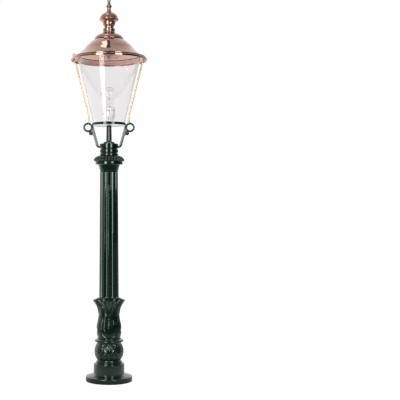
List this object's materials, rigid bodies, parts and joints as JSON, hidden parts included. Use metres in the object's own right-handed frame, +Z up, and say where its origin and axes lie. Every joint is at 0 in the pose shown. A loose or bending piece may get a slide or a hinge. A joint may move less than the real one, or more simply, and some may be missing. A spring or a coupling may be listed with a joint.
{
  "type": "street lamp",
  "caption": "Low street lamp: cast fluted post on a leaf-carved base, with a clear conical glass lantern under a hinged copper hood.",
  "frame": {"origin": "centre of the foot's underside", "axes": "+Z up the post's axis, -Y the front, +X towards the hinge of the hood"},
  "size_m": [0.292, 0.292, 1.45],
  "materials": {
    "green_paint": "glossy very dark green paint on cast aluminium",
    "copper": "polished pinkish copper sheet",
    "brass": "satin pale brass",
    "steel": "zinc-plated steel",
    "porcelain": "white glazed porcelain",
    "white_enamel": "white enamel on sheet metal",
    "clear_glass": "clear glass",
    "tungsten": "dark drawn wire"
  },
  "bodies": {
    "post": {"foot_casting": "green_paint", "tie_rod": "steel", "tie_rod_washer": "steel", "tie_rod_nut": "steel", "ball_casting": "green_paint", "collar_ring": "green_paint", "leaf_cup": "green_paint", "fluted_shaft": "green_paint", "capital": "green_paint", "gadroon_collar": "green_paint", "post_cap": "green_paint", "lantern_stem": "green_paint", "stem_nipple": "steel", "gallery_ring": "green_paint", "floor_pan": "white_enamel", "left_arm": "green_paint", "right_arm": "green_paint", "lampholder_body": "porcelain", "lampholder_ring": "porcelain", "thread_shell": "brass", "centre_contact": "brass", "glass_cone": "clear_glass", "left_rod": "brass", "right_rod": "brass"},
    "hood": {"roof_bell": "copper", "brim_bush": "brass", "dome_cap": "copper", "chimney_neck": "copper", "chimney_cap": "copper", "finial": "brass", "roof_stud": "steel", "roof_washer": "steel", "roof_nut": "steel", "hinge_cheek_front": "copper", "hinge_cheek_rear": "copper", "hinge_pin": "brass"},
    "ring_screw": {"ring_screw": "brass"},
    "bulb": {"bulb_glass": "clear_glass", "bulb_cap": "brass", "bulb_mount": "clear_glass", "filament": "tungsten"}
  },
  "joints": [
    {"name": "hood_hinge", "type": "hinge", "parent": "post", "child": "hood", "pos_m": [0.132, 0, 1.228], "axis": [0, 1, 0], "range_deg": [0, 42]},
    {"name": "ring_screw_turn", "type": "hinge", "parent": "hood", "child": "ring_screw", "pos_m": [-0.134, 0, 1.2402], "axis": [0, 0, 1], "continuous": true},
    {"name": "bulb_turn", "type": "hinge", "parent": "post", "child": "bulb", "pos_m": [0, 0, 1.0096], "axis": [0, 0, 1], "continuous": true}
  ]
}
